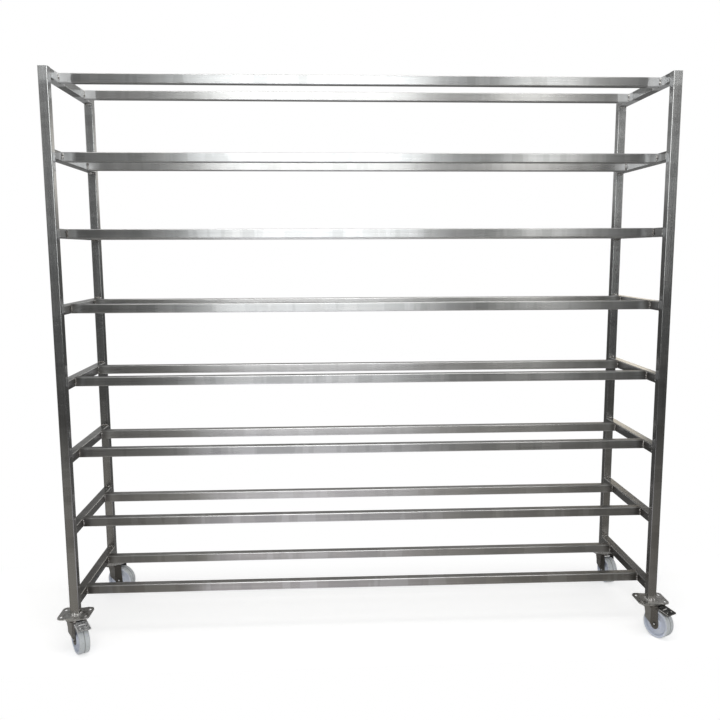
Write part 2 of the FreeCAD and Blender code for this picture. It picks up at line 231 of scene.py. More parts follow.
def tube_material(name, grain):
    """Brushed stainless tube. Grain is the axis the tube was brushed along: 0, 1 or 2 for X, Y or Z."""
    mat = bpy.data.materials.new(name)
    t = Tree(mat)
    place = t.place()
    x, y, z = t.axes(place)

    def by_grain(across, lengthwise):
        values = [across, across, across]
        values[grain] = lengthwise
        return tuple(values)

    def brushed(across, lengthwise, detail, roughness):
        """Noise with one scale across the tube and another lengthwise."""
        return t.noise(t.vector("MULTIPLY", place, by_grain(across, lengthwise)), 1.0, detail, roughness)

    def off_line(place_on_axis, line):
        """Distance from a middle line that lies on both sides of the rack's middle."""
        return t.math("ABSOLUTE", t.math("SUBTRACT", t.math("ABSOLUTE", place_on_axis), line))

    fine = brushed(1500.0, 4.0, 3.0, 0.6)
    streak = brushed(260.0, 3.0, 2.0, 0.55)
    band = brushed(120.0, 0.9, 1.0, 0.5)
    patch = brushed(1.5, 13.0, 2.0, 0.6)
    wave = brushed(26.0, 6.5, 2.0, 0.5)
    blotch = t.noise(place, 9.0, 3.0, 0.6)
    jitter = t.noise(place, 120.0, 2.0, 0.6)
    swirl = t.noise(place, 420.0, 2.0, 0.7)

    # Distance from the nearest weld, and from the two middle planes of the tube
    level = t.math("DIVIDE", t.math("SUBTRACT", z, TOP_BAR_Z), LEVEL_PITCH)
    level = t.math("FRACT", t.math("ADD", level, 0.5))
    off_level = t.math("ABSOLUTE", t.math("MULTIPLY", t.math("SUBTRACT", level, 0.5), LEVEL_PITCH))
    if grain == 0:
        reach = t.math("SUBTRACT", RAIL_END, t.math("ABSOLUTE", x))
        sides = off_line(y, RAIL_Y), off_level
    elif grain == 1:
        reach = off_line(y, RAIL_Y)
        sides = off_line(x, POST_X), off_level
    else:
        reach = off_level
        sides = off_line(x, POST_X), off_line(y, POST_Y)
    ragged = t.math("MULTIPLY", t.math("SUBTRACT", jitter, 0.5), ZONE_RAGGED)
    reach = t.math("ADD", reach, ragged)

    # Zones buffed bright around the upper welds
    fresh = t.ramp(z, *BUFFED_HEIGHT[grain], 0.0, BUFFED_SHARE[grain])
    buffed = t.math("MULTIPLY", t.ramp(reach, *BUFFED_REACH[grain], 1.0, 0.0), fresh)
    buffed = t.math("MULTIPLY", buffed, t.ramp(swirl, 0.25, 0.6, 0.65, 1.0))

    # Stains at the lower welds, painted shade at the post feet and on the inner ends of the side bars, and a
    # lighter grey on the rear rails and the feet of the front posts
    if grain == 0:
        stain_and_shade = t.ramp(reach, *RAIL_STAIN)
        tint_and_shade = t.math("MULTIPLY", t.ramp(y, *REAR_RAIL), t.ramp(z, *REAR_RAIL_HEIGHT))
        tint_and_shade_grey = LIGHT_TINT_GREY
    elif grain == 1:
        stain_and_shade = t.ramp(reach, *BAR_STAIN)
        # Painted shade on the inner ends of the side bars, strongest at the front
        tint_and_shade = t.math("MULTIPLY", t.ramp(t.math("ABSOLUTE", y), *BAR_END), t.ramp(y, *BAR_FRONT))
        tint_and_shade = t.math("MULTIPLY", tint_and_shade, t.ramp(t.math("ABSOLUTE", x), *BAR_INSIDE))
        tint_and_shade = t.math("MULTIPLY", tint_and_shade, along_stops(t, z, BAR_END_SHADE_STOPS))
        tint_and_shade_grey = BAR_END_SHADE_GREY
    else:
        # Painted shade at the post feet
        stain_and_shade = t.ramp(z, *POST_FOOT_SHADE)
        tint_and_shade = t.math("MULTIPLY", t.ramp(y, *FRONT_POST), t.ramp(z, *POST_FOOT))
        tint_and_shade_grey = LIGHT_TINT_GREY
    stain_and_shade = t.math("MULTIPLY", stain_and_shade, t.ramp(z, *STAIN_AND_SHADE_HEIGHT))

    # Grey steel, painted darker and warmer towards the floor as painted shade and lighter towards the top as
    # painted light, with marks: noise, start, end, share before and after, grey
    tone = t.mix(t.ramp(z, *LOW_TO_MID), grey(LOW_TONE[grain], LOW_WARM), grey(MID_TONE, MID_WARM))
    tone = t.mix(t.ramp(z, *MID_TO_HIGH), tone, grey(HIGH_TONE, HIGH_WARM))
    for noise, low, high, before, after, mark_grey in (
        (blotch, 0.35, 0.70, 0.0, 0.30, BLOTCH_GREY),
        (streak, 0.30, 0.75, 0.0, 0.08, STREAK_GREY),
        (band, 0.36, 0.46, 0.08, 0.0, BAND_DARK),
        (band, 0.54, 0.64, 0.0, 0.08, BAND_LIGHT),
        (patch, 0.43, 0.46, 0.24, 0.0, PATCH_DARK),
        (patch, 0.54, 0.57, 0.0, 0.20, PATCH_LIGHT),
    ):
        tone = t.mix(t.ramp(noise, low, high, before, after), tone, mark_grey)
    tone = t.mix(tint_and_shade, tone, tint_and_shade_grey)

    # Painted shade: faces that look into the rack are darker from the third level down
    normal = t.node("ShaderNodeNewGeometry").outputs["Normal"]
    if grain != 0:
        outwards = t.math("MULTIPLY", t.axes(normal)[0], t.math("SIGN", x))
        inner_shade = t.math("MULTIPLY", t.ramp(outwards, *INNER_SHADE_SIDE), t.ramp(z, *INNER_SHADE_HEIGHT))
        tone = t.mix(inner_shade, tone, INNER_SHADE_GREY)

    # Painted highlights and shade along the rounded corners, stains with painted shade, and buffed zones lie
    # over the rest
    # Painted highlight along the rounded corners, and painted shade on the corners of the posts low down
    corner = t.ramp(t.math("MINIMUM", *sides), CORNER_START, CORNER_FULL, 0.0, CORNER_PAINT_SHARE[grain])
    corner_highlight_and_shade = t.mix(t.ramp(z, *CORNER_HEIGHT), grey(CORNER_PAINT_LOW[grain]), grey(CORNER_PAINT_HIGH))
    tone = t.mix(corner, tone, corner_highlight_and_shade)
    tone = t.mix(stain_and_shade, tone, STAIN_AND_SHADE_GREY)
    tone = t.mix(buffed, tone, BUFFED_GREY)
    metal = t.blend(buffed, 1.0, BUFFED_METAL)
    rough = t.ramp(streak, 0.25, 0.75, *ROUGHNESS[grain])
    rough = t.blend(buffed, rough, t.ramp(swirl, 0.3, 0.7, *BUFFED_ROUGHNESS))
    tangent = t.vector("NORMALIZE", t.vector("CROSS_PRODUCT", normal, by_grain(0.0, 1.0)))
    bumps = t.bump(wave, 0.32, 0.0006)
    bumps = t.bump(fine, 0.06, 0.00004, bumps)
    bumps = t.bump(t.math("MULTIPLY", swirl, buffed), 0.35, 0.0002, bumps)
    steel = t.shader(Base_Color=tone, Metallic=metal, Roughness=rough, Anisotropic=ANISOTROPY[grain],
                     Tangent=tangent, Normal=bumps)
    t.end(steel)
    return mat


# Weld metal

WELD_DULL, WELD_BRIGHT = grey(0.24, 0.07), grey(0.90, 0.01)
UPPER_WELDS, FOOT_WELDS = (1.3, 1.7), (0.130, 0.140, 1.0, 0.0)


def weld_material():
    """Brushed weld metal, bright in blotches and dull between them, cleaner high up and at the post feet."""
    mat = bpy.data.materials.new("weld_steel")
    t = Tree(mat)
    place = t.place()
    grain = t.noise(place, 900.0, 3.0, 0.6)
    blotch = t.noise(place, 210.0, 2.0, 0.5)
    z = t.axes(place)[2]
    cleaner = t.math("MAXIMUM", t.ramp(z, *UPPER_WELDS), t.ramp(z, *FOOT_WELDS))
    bright = t.math("ADD", blotch, t.math("MULTIPLY", cleaner, 0.12))
    tone = t.mix(t.ramp(bright, 0.52, 0.66), WELD_DULL, WELD_BRIGHT)
    rough = t.ramp(grain, 0.3, 0.7, 0.18, 0.36)
    t.end(t.shader(Base_Color=tone, Metallic=1.0, Roughness=rough, Normal=t.bump(grain, 0.4, 0.0002)))
    return mat


# Castor materials

EDGE_ROUND = 0.0007
RIM_ROUND = 0.0022
EDGE_WEAR_AND_HIGHLIGHT_GREY = grey(0.85, 0.02)
FORK_CREASE = 0.0205
CREASE_HALF = 0.001
NEAR_FLOOR = (0.035, 0.085, 0.35, 0.0)


def pressed_material(name, light, dark, warm, metal=1.0, fork_corner=None, edge_wear_and_highlight=0.0, mottle=55.0):
    """Pressed and tumbled sheet steel of the castors, duller near the floor.

    Edge wear and highlight is how far its edges are painted bright, as wear and as a painted highlight along
    them. A fork's legs past the crease carry painted shade and are darker than its front panel.
    """
    mat = bpy.data.materials.new(name)
    t = Tree(mat)
    place = t.place()
    cloud = t.noise(place, mottle, 4.0, 0.6)
    peel = t.noise(place, 700.0, 2.0, 0.5)
    scratch = t.noise(t.vector("MULTIPLY", place, (1100.0, 160.0, 160.0)), 1.0, 3.0, 0.7)
    z = t.axes(place)[2]
    tone = t.mix(t.ramp(cloud, 0.3, 0.7), grey(dark, warm), grey(light, warm * 0.4))
    tone = t.mix(t.ramp(scratch, 0.62, 0.78, 0.0, 0.5), tone, grey(light * 1.25, 0.0))
    tone = t.mix(t.ramp(z, *NEAR_FLOOR), tone, grey(dark * 0.7, 0.06))
    # Painted shade: the fork legs past the crease are darker than the front panel
    if fork_corner:
        king_pin, trail = castor_frame(fork_corner)[:2]
        past = t.measure("DOT_PRODUCT", t.vector("SUBTRACT", place, tuple(king_pin)), tuple(trail))
        leg = t.ramp(past, FORK_CREASE - CREASE_HALF, FORK_CREASE + CREASE_HALF, 0.0, 0.85)
        tone = t.mix(leg, tone, grey(dark * 0.5, warm * 1.6))
    # Edges painted bright: wear together with a painted highlight
    if edge_wear_and_highlight:
        wide_edges = t.node("ShaderNodeBevel", Radius=RIM_ROUND).outputs[0]
        flat = t.node("ShaderNodeNewGeometry").outputs["Normal"]
        turn = t.measure("DOT_PRODUCT", wide_edges, flat)
        edge_wear_and_highlight_mask = t.math("MULTIPLY", t.ramp(turn, 0.84, 0.97, edge_wear_and_highlight, 0.0), t.ramp(peel, 0.3, 0.6, 0.5, 1.0))
        tone = t.mix(edge_wear_and_highlight_mask, tone, EDGE_WEAR_AND_HIGHLIGHT_GREY)
    rough = t.math("ADD", t.ramp(cloud, 0.3, 0.7, 0.24, 0.36), t.ramp(scratch, 0.5, 0.8, 0.0, 0.06))
    edges = t.node("ShaderNodeBevel", Radius=EDGE_ROUND).outputs[0]
    normal = t.bump(cloud, 0.35, 0.0006, edges)
    normal = t.bump(peel, 0.3, 0.00008, normal)
    t.end(t.shader(Base_Color=tone, Metallic=metal, Roughness=rough, Normal=normal))
    return mat


FASTENER_DARK, FASTENER_LIGHT = grey(0.60, 0.02), grey(0.80)
AXLE_GLINT_EDGE, AXLE_GLINT_FADE = 0.0024, 0.0034
AXLE_GLINT_GREY, AXLE_GLINT_METAL = grey(0.92), 0.20
AXLE_DARK, AXLE_LIGHT = grey(0.12, 0.05), grey(0.20, 0.03)


def fastener_material(name, axle_corner=None):
    """Turned and rolled steel of pins, balls, bolts and nuts.

    An axle has a painted highlight at the middle of its ends, on a dark head around it.
    """
    mat = bpy.data.materials.new(name)
    t = Tree(mat)
    place = t.place()
    cloud = t.noise(place, 220.0, 3.0, 0.6)
    turned = t.noise(t.vector("MULTIPLY", place, (300.0, 300.0, 2600.0)), 1.0, 2.0, 0.5)
    tone = t.mix(t.ramp(cloud, 0.3, 0.7), FASTENER_DARK, FASTENER_LIGHT)
    metal = 1.0
    if axle_corner:
        hub = castor_frame(axle_corner)[3]
        axis = tuple(JOINTS["wheel_spin_" + axle_corner]["axis"])
        from_hub = t.vector("SUBTRACT", place, tuple(hub))
        off_axle = t.measure("LENGTH", t.vector("CROSS_PRODUCT", from_hub, axis))
        # Painted highlight at the middle of the axle ends, on a dark head
        dark_head_tone = t.mix(t.ramp(cloud, 0.3, 0.7), AXLE_DARK, AXLE_LIGHT)
        outer = t.ramp(off_axle, AXLE_GLINT_EDGE, AXLE_GLINT_FADE)
        tone = t.mix(outer, AXLE_GLINT_GREY, dark_head_tone)
        metal = t.blend(outer, AXLE_GLINT_METAL, 1.0)
    rough = t.ramp(turned, 0.3, 0.7, 0.18, 0.32)
    t.end(t.shader(Base_Color=tone, Metallic=metal, Roughness=rough, Normal=t.bump(turned, 0.3, 0.00006)))
    return mat


# Radii on the wheel and half the width of the groove in its tread
TREAD_START, TREAD_FULL = 0.0470, 0.0488
GROOVE_HALF, GROOVE_SIDE = 0.0012, 0.0018
RECESS_EDGE = 0.0420
RECESS_SHADE = (RECESS_EDGE - 0.001, RECESS_EDGE, 0.14, 0.0)
RECESS_IN = (RECESS_EDGE - 0.0075, RECESS_EDGE - 0.0025, 0.0, 0.40)
RECESS_OUT = (RECESS_EDGE - 0.0006, RECESS_EDGE + 0.0002, 1.0, 0.0)
NYLON_DARK, NYLON_LIGHT = (0.72, 0.76, 0.88, 1.0), (0.82, 0.85, 0.93, 1.0)
NYLON_SHADE, NYLON_TREAD = (0.30, 0.36, 0.46, 1.0), (0.69, 0.72, 0.74, 1.0)
NYLON_SPECK, NYLON_SCUFF = (0.45, 0.45, 0.45, 1.0), (0.36, 0.37, 0.35, 1.0)
RECESS_SHADE_AND_GRIME, GROOVE_SHADE_AND_GRIME = (0.30, 0.35, 0.43, 1.0), (0.14, 0.14, 0.13, 1.0)


def nylon_material(corner):
    """White moulded nylon with faint flow marks, a scuffed tread, and grime with painted shade in the groove
    and over the recessed face.
    """
    mat = bpy.data.materials.new("white_nylon_" + corner)
    t = Tree(mat)
    place = t.place()
    joint = JOINTS["wheel_spin_" + corner]
    axis = tuple(joint["axis"])
    from_hub = t.vector("SUBTRACT", place, tuple(joint["pos_m"]))
    off_middle = t.math("ABSOLUTE", t.measure("DOT_PRODUCT", from_hub, axis))
    radius = t.measure("LENGTH", t.vector("CROSS_PRODUCT", from_hub, axis))
    flow = t.noise(place, 34.0, 3.0, 0.55)
    speck = t.noise(place, 420.0, 3.0, 0.65)
    scuff = t.noise(place, 150.0, 4.0, 0.7)
    pores = t.noise(place, 1600.0, 2.0, 0.5)

    tread = t.ramp(radius, TREAD_START, TREAD_FULL)
    # Grime with painted shade in the tread groove
    groove_shade_and_grime = t.math("MULTIPLY", tread, t.ramp(off_middle, GROOVE_HALF, GROOVE_SIDE, 0.50, 0.0))
    # Grime with painted shade in the recess, darkest near its wall
    recess_shade_and_grime = t.math("MULTIPLY", t.ramp(radius, *RECESS_IN), t.ramp(radius, *RECESS_OUT))
    scuffed = t.math("MULTIPLY", tread, t.ramp(scuff, 0.54, 0.68, 0.0, 0.40))
    tone = t.mix(t.ramp(flow, 0.3, 0.7), NYLON_DARK, NYLON_LIGHT)
    # Painted shade with grime over the whole recessed face
    tone = t.mix(t.ramp(radius, *RECESS_SHADE), tone, NYLON_SHADE)
    tone = t.mix(tread, tone, NYLON_TREAD)
    tone = t.mix(t.ramp(speck, 0.60, 0.72, 0.0, 0.35), tone, NYLON_SPECK)
    tone = t.mix(scuffed, tone, NYLON_SCUFF)
    tone = t.mix(recess_shade_and_grime, tone, RECESS_SHADE_AND_GRIME)
    tone = t.mix(groove_shade_and_grime, tone, GROOVE_SHADE_AND_GRIME)
    rough = t.ramp(speck, 0.35, 0.65, 0.38, 0.55)
    normal = t.bump(flow, 0.2, 0.0008)
    normal = t.bump(t.math("MULTIPLY", tread, scuff), 0.35, 0.0004, normal)
    normal = t.bump(pores, 0.2, 0.00008, normal)
    nylon = t.shader(Base_Color=tone, Roughness=rough, Normal=normal, Subsurface_Weight=0.15,
                     Subsurface_Radius=(0.004, 0.004, 0.005), Subsurface_Scale=1.0, IOR=1.53)
    t.end(nylon)
    return mat


def pad_material():
    """Dark moulded brake shoe."""
    mat = bpy.data.materials.new("dark_pad")
    t = Tree(mat)
    place = t.place()
    grain = t.noise(place, 480.0, 3.0, 0.6)
    tone = t.mix(grain, grey(0.025), grey(0.06, 0.02))
    rough = t.ramp(grain, 0.3, 0.7, 0.55, 0.75)
    t.end(t.shader(Base_Color=tone, Roughness=rough, Normal=t.bump(grain, 0.4, 0.0003)))
    return mat


# Materials of the pieces

rail_steel = tube_material("rail_steel", 0)
bar_steel = tube_material("bar_steel", 1)
post_steel = tube_material("post_steel", 2)
weld_steel = weld_material()
plate_steel = pressed_material("plate_steel", light=0.80, dark=0.58, warm=0.02, edge_wear_and_highlight=0.75)
# Painted shade: the rear forks get darker greys than the front forks
FORK_LIT_AND_SHADED_TONES = {"front_left": (0.45, 0.36), "front_right": (0.45, 0.36), "rear_left": (0.34, 0.27),
              "rear_right": (0.34, 0.27)}
FORK_WARM = 0.05
fork_steel = {
    corner: pressed_material("fork_steel_" + corner, *FORK_LIT_AND_SHADED_TONES[corner], FORK_WARM, fork_corner=corner)
    for corner in CORNERS
}
# The front-left pedal gets a lighter, more matt copy of the pedal steel than the front-right one
pedal_steel = {
    "front_left": pressed_material("light_pedal_steel", light=0.70, dark=0.13, warm=-0.02, metal=0.45, edge_wear_and_highlight=0.8,
                                   mottle=190.0),
    "front_right": pressed_material("dark_pedal_steel", light=0.20, dark=0.12, warm=0.02, edge_wear_and_highlight=0.9,
                                    mottle=120.0),
}
# Painted highlight: the raised marks are painted pale, near white on the front-left pedal
mark_steel = {
    "front_left": pressed_material("highlit_mark_steel", light=0.95, dark=0.80, warm=0.0, metal=0.25),
    "front_right": pressed_material("dark_mark_steel", light=0.72, dark=0.56, warm=0.03, metal=0.30),
}
bright_steel = fastener_material("bright_steel")
axle_steel = {corner: fastener_material("axle_steel_" + corner, corner) for corner in CORNERS}
white_nylon = {corner: nylon_material(corner) for corner in CORNERS}
dark_pad = pad_material()

MATERIAL_OF = (
    ("post_", post_steel),
    ("side_bar_", bar_steel),
    ("rail_", rail_steel),
    ("castor_plate_", plate_steel),
    ("king_pins", bright_steel),
    ("swivel_balls", bright_steel),
    *(("fork_hardware_" + corner, axle_steel[corner]) for corner in CORNERS),
    *(("fork_" + corner, fork_steel[corner]) for corner in CORNERS),
    *(("wheel_" + corner, white_nylon[corner]) for corner in CORNERS),
    *(("brake_pedal_" + corner, pedal_steel[corner]) for corner in BRAKED),
    ("brake_shoe_", dark_pad),
)
for node_name, node in NODES.items():
    material = next(m for start, m in MATERIAL_OF if node_name.startswith(start))
    for slot in node.material_slots:
        slot.material = material


# Weld beads and ground seams

BAR_BEAD, RAIL_BEAD, FOOT_BEAD = 0.0045, 0.0042, 0.0050
HALF_BEAD = 0.0125
RIPPLE_LENGTH = 0.0022
BEAD_SUNK = 0.35
SEAM_INSET = 0.004
SEAM_HALF_WIDTH, SEAM_PROUD, SEAM_EDGE, SEAM_SUNK = 0.0026, 0.00035, 0.00012, 0.0006
ARC_STEPS, SEAM_STEPS = 6, 24


def skin(bm, rings):
    """Faces between neighbouring rings of points, and one across each end."""
    count = len(rings[0])
    for first, second in zip(rings, rings[1:]):
        for k in range(count):
            after = (k + 1) % count
            bm.faces.new((first[k], first[after], second[after], second[k]))
    bm.faces.new(list(reversed(rings[0])))
    bm.faces.new(rings[-1])


def bead(bm, start, end, side_a, side_b, leg, seed):
    """Rippled fillet bead from start to end in the corner between directions side_a and side_b."""
    start, end = Vector(start), Vector(end)
    side_a, side_b = Vector(side_a), Vector(side_b)
    length = (end - start).length
    ripples = max(6, round(length / RIPPLE_LENGTH))
    steps = 3 * ripples
    rings = []
    for i in range(steps + 1):
        s = i / steps
        taper = min(1.0, 0.35 + 3.2 * min(s, 1 - s))
        wobble = 0.10 * math.sin(2 * math.pi * ripples * s) + 0.16 * math.sin(11.0 * s + seed * 1.7)
        wobble += 0.14 * math.sin(23.0 * s + seed * 2.9)
        size = leg * taper * (1 + wobble)
        centre = start.lerp(end, s)
        ring = [bm.verts.new(centre - (side_a + side_b) * leg * BEAD_SUNK)]
        for k in range(ARC_STEPS + 1):
            angle = math.pi / 2 * k / ARC_STEPS
            swell = 0.80 + 0.20 * abs(math.cos(2 * angle))
            point = centre + (side_a * math.cos(angle) + side_b * math.sin(angle)) * size * swell
            ring.append(bm.verts.new(point))
        rings.append(ring)
    skin(bm, rings)


def seam(bm, start, end, out, seed):
    """Ground-down seam, a low lens across a flush joint. Out points away from the tube."""
    start, end, out = Vector(start), Vector(end), Vector(out)
    along = (end - start).normalized()
    wide = out.cross(along)
    rings = []
    for i in range(SEAM_STEPS + 1):
        s = i / SEAM_STEPS
        taper = min(1.0, 0.3 + 4.0 * min(s, 1 - s))
        wobble = 1 + 0.18 * math.sin(17.0 * s + seed) + 0.12 * math.sin(41.0 * s + 2.3 * seed)
        centre = start.lerp(end, s)
        ring = [bm.verts.new(centre - out * SEAM_SUNK)]
        for k in range(ARC_STEPS + 1):
            u = 2.0 * k / ARC_STEPS - 1.0
            lift = SEAM_PROUD * taper * (1 - u * u) - SEAM_EDGE
            ring.append(bm.verts.new(centre + wide * SEAM_HALF_WIDTH * wobble * u + out * lift))
        rings.append(ring)
    skin(bm, rings)


def finish_mesh(bm, name, material, body):
    """Turn the collected faces into one smooth piece that rides on a body."""
    bmesh.ops.recalc_face_normals(bm, faces=bm.faces[:])
    mesh = bpy.data.meshes.new(name)
    bm.to_mesh(mesh)
    bm.free()
    for face in mesh.polygons:
        face.use_smooth = True
    mesh.materials.append(material)
    piece = bpy.data.objects.new(name, mesh)
    bpy.context.scene.collection.objects.link(piece)
    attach(piece, body)


for level in range(1, LEVELS + 1):
    bm = bmesh.new()
    for index, side in enumerate(SIDES):
        inward = 1.0 if side == "left" else -1.0
        low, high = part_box("side_bar_%s_%d" % (side, level))
        mid_x = (low.x + high.x) / 2
        west, east = mid_x - HALF_BEAD, mid_x + HALF_BEAD
        for end_y, way in ((low.y, 1.0), (high.y, -1.0)):
            seed = level * 7 + index * 3 + way
            if level > 1:
                bead(bm, (west, end_y, high.z), (east, end_y, high.z), (0, way, 0), (0, 0, 1), BAR_BEAD, seed)
            bead(bm, (west, end_y, low.z), (east, end_y, low.z), (0, way, 0), (0, 0, -1), BAR_BEAD, seed + 1)
            for face_x, out in ((low.x, -1.0), (high.x, 1.0)):
                seam(bm, (face_x, end_y, low.z + SEAM_INSET), (face_x, end_y, high.z - SEAM_INSET),
                     (out, 0, 0), seed)
        for row in ROWS:
            rail_low, rail_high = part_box("rail_%s_%d" % (row, level))
            end_x = rail_low.x if side == "left" else rail_high.x
            mid_z = (rail_low.z + rail_high.z) / 2
            seed = level * 5 + index * 2 + (1 if row == "rear" else 0)
            for face_y, out in ((rail_low.y, -1.0), (rail_high.y, 1.0)):
                bead(bm, (end_x, face_y, mid_z - HALF_BEAD), (end_x, face_y, mid_z + HALF_BEAD),
                     (inward, 0, 0), (0, out, 0), RAIL_BEAD, seed)
            for face_z, out in ((rail_low.z, -1.0), (rail_high.z, 1.0)):
                seam(bm, (end_x, rail_low.y + SEAM_INSET, face_z), (end_x, rail_high.y - SEAM_INSET, face_z),
                     (0, 0, out), seed)
    finish_mesh(bm, "welds_level_%d" % level, weld_steel, "frame")

bm = bmesh.new()
for index, corner in enumerate(CORNERS):
    low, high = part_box("post_" + corner)
    mid = (low + high) / 2
    for face_x, out in ((low.x, -1.0), (high.x, 1.0)):
        bead(bm, (face_x, mid.y - HALF_BEAD, low.z), (face_x, mid.y + HALF_BEAD, low.z),
             (out, 0, 0), (0, 0, 1), FOOT_BEAD, index + out)
    for face_y, out in ((low.y, -1.0), (high.y, 1.0)):
        bead(bm, (mid.x - HALF_BEAD, face_y, low.z), (mid.x + HALF_BEAD, face_y, low.z),
             (0, out, 0), (0, 0, 1), FOOT_BEAD, index + 2 + out)
finish_mesh(bm, "welds_post_feet", weld_steel, "frame")


# Raised marks on the pedals: a rib, two studs and a line along each side

PEDAL_START = 0.0485
PEDAL_TOP = 0.1085
PEDAL_SLOPE = math.radians(12.0)
MARK_POINTS, DOME_STEPS, MARK_SUNK = 24, 5, 0.0004
# Reach from the king pin, place across, half the straight length across and along, radius and height
PEDAL_MARKS = (
    (0.0610, 0.0, 0.0085, 0.0, 0.0022, 0.0009),
    (0.0790, -0.0100, 0.0, 0.0, 0.0022, 0.0009),
    (0.0790, 0.0100, 0.0, 0.0, 0.0022, 0.0009),
    (0.0700, -0.0212, 0.0, 0.0175, 0.0010, 0.0007),
    (0.0700, 0.0212, 0.0, 0.0175, 0.0010, 0.0007),
)


def boss(bm, centre, run, side, out, half_length, radius, height):
    """Raised mark with round ends and a domed top, sunk a little into the face under it."""
    rings = []
    for k in range(-1, DOME_STEPS):
        angle = math.pi / 2 * max(k, 0) / DOME_STEPS
        ring_radius = radius * math.cos(angle)
        lift = height * math.sin(angle) if k >= 0 else -MARK_SUNK
        ring = []
        for i in range(MARK_POINTS):
            turn = 2 * math.pi * (i + 0.5) / MARK_POINTS
            end = math.copysign(half_length, math.cos(turn))
            offset = run * (end + ring_radius * math.cos(turn)) + side * (ring_radius * math.sin(turn))
            ring.append(bm.verts.new(centre + offset + out * lift))
        rings.append(ring)
    skin(bm, rings)


for corner in BRAKED:
    king_pin, trail, across = castor_frame(corner)[:3]
    slope = trail * math.cos(PEDAL_SLOPE) + Vector((0.0, 0.0, -math.sin(PEDAL_SLOPE)))
    out = across.cross(slope)
    if out.z < 0:
        out = -out
    bm = bmesh.new()
    for reach, aside, half_across, half_along, radius, height in PEDAL_MARKS:
        centre = king_pin + trail * reach + across * aside
        centre.z = PEDAL_TOP - (reach - PEDAL_START) * math.tan(PEDAL_SLOPE)
        if half_along:
            boss(bm, centre, slope, across, out, half_along, radius, height)
        else:
            boss(bm, centre, across, slope, out, half_across, radius, height)
    finish_mesh(bm, "pedal_marks_" + corner, mark_steel[corner], "pedal_" + corner)


# Floor and surroundings

def plane(name, corners, material):
    mesh = bpy.data.meshes.new(name)
    mesh.from_pydata(corners, [], [tuple(range(len(corners)))])
    mesh.materials.append(material)
    made = bpy.data.objects.new(name, mesh)
    bpy.context.scene.collection.objects.link(made)
    return made


def seen(t):
    """Whether a ray comes from the camera or a clear surface, and whether it comes from a gloss."""
    path = t.node("ShaderNodeLightPath")
    direct = t.math("MAXIMUM", path.outputs["Is Camera Ray"], path.outputs["Is Transmission Ray"])
    return direct, path.outputs["Is Glossy Ray"]


FLOOR_GREY = 0.86
FLOOR_LIFT = 0.50
FLOOR_GLOSS_GREY = 0.30
FLOOR_GLOSS_POOL = 0.85
FLOOR_SIDE, FLOOR_FRONT, FLOOR_REAR = 1.8, -0.44, 0.50
FADE_SIDE = (FLOOR_SIDE - 0.55, FLOOR_SIDE - 0.05)
FADE_REAR = (FLOOR_REAR - 0.24, FLOOR_REAR - 0.02)
FADE_FRONT = (FLOOR_FRONT + 0.01, FLOOR_FRONT + 0.11, 1.0, 0.0)
FLAT_COLOUR = (1.0, 1.0, 0.98, 1.0)
POOL_COLOUR = (0.95, 0.94, 1.0, 1.0)
GROUND_COLOUR = (1.0, 0.98, 0.91, 1.0)
WARM_COLOUR = (1.0, 0.92, 0.78, 1.0)


def flat_material(name, axis, stops, warm=None):
    """Grey studio flat whose glow changes along an axis.

    Stops are (place, glow), and warm is where its colour turns warm.
    """
    mat = bpy.data.materials.new(name)
    t = Tree(mat)
    where = t.axes(t.place())[axis]
    colour = t.mix(t.ramp(where, *warm), FLAT_COLOUR, WARM_COLOUR) if warm else FLAT_COLOUR
    t.end(t.node("ShaderNodeEmission", Color=colour, Strength=along_stops(t, where, stops)))
    return mat


# The pool of window light on the ground narrows towards a point behind the rack, and under the rack it fades
# into a painted shadow
POOL_X, POOL_Y = -0.14, 2.55
POOL_STOPS = ((-0.20, 0.28), (-0.135, 1.05), (-0.02, 1.00), (0.10, 0.74), (0.17, 0.52), (0.28, 0.30),
              (0.40, 0.18))
# Painted shadow: the pool dims under the rack
POOL_FADE = ((-3.9, 0.10), (-2.9, 0.80), (-0.5, 1.0), (0.15, 0.35))


def pool_light(t, x, y):
    """Strength and colour of the pool of window light at a place on the ground."""
    spread = t.math("DIVIDE", t.math("SUBTRACT", x, POOL_X), t.math("SUBTRACT", POOL_Y, y))
    pool = along_stops(t, spread, POOL_STOPS)
    colour = t.mix(t.ramp(pool, 0.30, 0.85), GROUND_COLOUR, POOL_COLOUR)
    return t.math("MULTIPLY", pool, along_stops(t, y, POOL_FADE)), colour


def pool_material():
    """Ground in front of the rack with the pool of window light on it."""
    mat = bpy.data.materials.new("front_ground")
    t = Tree(mat)
    x, y = t.axes(t.place())[:2]
    pool, colour = pool_light(t, x, y)
    t.end(t.node("ShaderNodeEmission", Color=colour, Strength=pool))
    return mat


